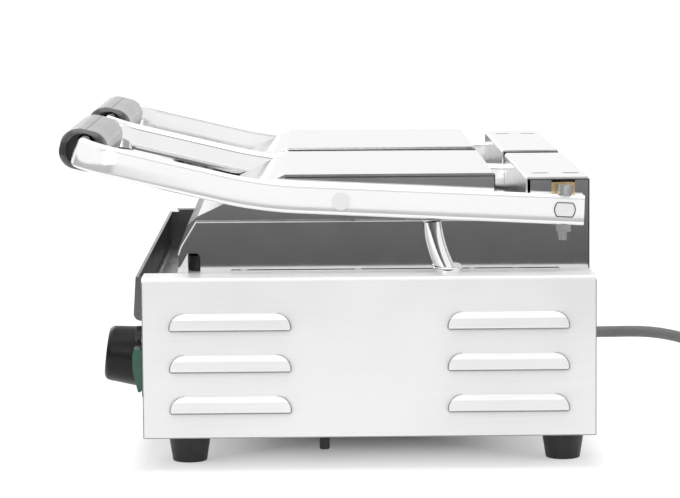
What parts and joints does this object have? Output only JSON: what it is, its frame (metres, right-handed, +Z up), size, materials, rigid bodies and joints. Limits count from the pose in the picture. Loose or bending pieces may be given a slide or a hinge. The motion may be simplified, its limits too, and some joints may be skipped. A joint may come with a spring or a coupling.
{
  "type": "contact grill",
  "caption": "Counter-top double contact grill: sheet metal base with a ribbed plate, side-by-side hinged heads in tube handles, drip tray, knobs, rocker switches and mains cord.",
  "frame": {"origin": "on the surface the feet stand on, midway between the fronts of the grips and the back of the base", "axes": "+X to the right seen from the front, +Y to the back, +Z up"},
  "size_m": [0.5772, 0.6121, 0.2334],
  "materials": {
    "brushed_stainless": "satin brushed stainless sheet",
    "polished_stainless": "polished stainless sheet",
    "chromed_steel": "polished chrome",
    "zinc_steel": "bright zinc plated",
    "spring_steel": "oiled spring wire",
    "black_grip": "gloss moulded",
    "black_knob": "satin moulded",
    "black_plastic": "satin moulded",
    "green_lens": "clear tinted",
    "red_lens": "clear tinted",
    "cast_plate": "seasoned casting",
    "element_steel": "heat-tinted",
    "mineral_wool": "felted",
    "brass_block": "machined",
    "terminal_white": "moulded",
    "black_rubber": "moulded",
    "cord_rubber": "extruded"
  },
  "bodies": {
    "base": {"base_casing": "brushed_stainless", "tray_housing": "brushed_stainless", "front_panel": "brushed_stainless", "bottom_plate": "brushed_stainless", "rear_panel": "brushed_stainless", "feet": "black_rubber", "foot_screws": "zinc_steel", "locating_pegs": "black_plastic", "lower_plate": "cast_plate", "lower_elements": "element_steel", "element_clamps": "zinc_steel", "lower_insulation": "mineral_wool", "clamp_studs": "zinc_steel", "splash_guard": "polished_stainless", "hinge_plates": "polished_stainless", "bearing_blocks": "brass_block", "torsion_springs": "spring_steel", "guard_screws": "zinc_steel", "conduit_collars": "chromed_steel", "thermostats": "black_plastic", "dial_plates": "black_plastic", "switch_frames": "black_plastic", "pilot_lamps": "red_lens", "terminal_block": "terminal_white", "hinge_cover_right": "polished_stainless", "hinge_cover_left": "polished_stainless", "cable_gland": "cord_rubber", "cord_coil": "cord_rubber", "power_cord": "cord_rubber", "plug": "cord_rubber"},
    "tray": {"drip_tray": "brushed_stainless"},
    "knob_right": {"knob_right": "black_knob"},
    "rocker_right": {"rocker_right": "green_lens"},
    "lid_right": {"handle_frame_right": "chromed_steel", "grip_right": "black_grip", "hinge_shaft_right": "zinc_steel", "clamp_bolts_right": "zinc_steel", "clamp_nuts_right": "zinc_steel", "conduit_right": "chromed_steel", "pivot_pins_right": "chromed_steel"},
    "head_right": {"head_casing_right": "polished_stainless", "upper_plate_right": "cast_plate", "pivot_brackets_right": "zinc_steel", "upper_element_right": "element_steel", "upper_insulation_right": "mineral_wool"},
    "knob_left": {"knob_left": "black_knob"},
    "rocker_left": {"rocker_left": "green_lens"},
    "lid_left": {"handle_frame_left": "chromed_steel", "grip_left": "black_grip", "hinge_shaft_left": "zinc_steel", "clamp_bolts_left": "zinc_steel", "clamp_nuts_left": "zinc_steel", "conduit_left": "chromed_steel", "pivot_pins_left": "chromed_steel"},
    "head_left": {"head_casing_left": "polished_stainless", "upper_plate_left": "cast_plate", "pivot_brackets_left": "zinc_steel", "upper_element_left": "element_steel", "upper_insulation_left": "mineral_wool"}
  },
  "joints": [
    {"name": "drip_tray_slide", "type": "slide", "parent": "base", "child": "tray", "axis": [0, -1, 0], "range_m": [0, 0.03]},
    {"name": "lid_hinge_right", "type": "hinge", "parent": "base", "child": "lid_right", "pos_m": [0.132, 0.16775, 0.1769], "axis": [-1, 0, 0], "range_deg": [0, 60], "stiffness_Nm_per_rad": 4, "springref_deg": 80.21},
    {"name": "head_tilt_right", "type": "hinge", "parent": "lid_right", "child": "head_right", "pos_m": [0.132, 0.01185, 0.18409], "axis": [1, 0, 0], "range_deg": [0, 8]},
    {"name": "knob_turn_right", "type": "hinge", "parent": "base", "child": "knob_right", "pos_m": [0.184, -0.13915, 0.06651], "axis": [0, 0.9925, -0.1219], "range_deg": [0, 270]},
    {"name": "rocker_tip_right", "type": "hinge", "parent": "base", "child": "rocker_right", "pos_m": [0.233, -0.12725, 0.0633], "axis": [-1, 0, 0], "range_deg": [0, 14]},
    {"name": "lid_hinge_left", "type": "hinge", "parent": "base", "child": "lid_left", "pos_m": [-0.132, 0.16775, 0.1769], "axis": [-1, 0, 0], "range_deg": [0, 60], "stiffness_Nm_per_rad": 4, "springref_deg": 80.21},
    {"name": "head_tilt_left", "type": "hinge", "parent": "lid_left", "child": "head_left", "pos_m": [-0.132, 0.01185, 0.18409], "axis": [1, 0, 0], "range_deg": [0, 8]},
    {"name": "knob_turn_left", "type": "hinge", "parent": "base", "child": "knob_left", "pos_m": [-0.184, -0.13915, 0.06651], "axis": [0, 0.9925, -0.1219], "range_deg": [0, 270]},
    {"name": "rocker_tip_left", "type": "hinge", "parent": "base", "child": "rocker_left", "pos_m": [-0.233, -0.12725, 0.0633], "axis": [-1, 0, 0], "range_deg": [0, 14]}
  ],
  "couplings": [
    {"joint": "head_tilt_right", "follows": "lid_hinge_right", "ratio": 0.13333},
    {"joint": "head_tilt_left", "follows": "lid_hinge_left", "ratio": 0.13333}
  ]
}
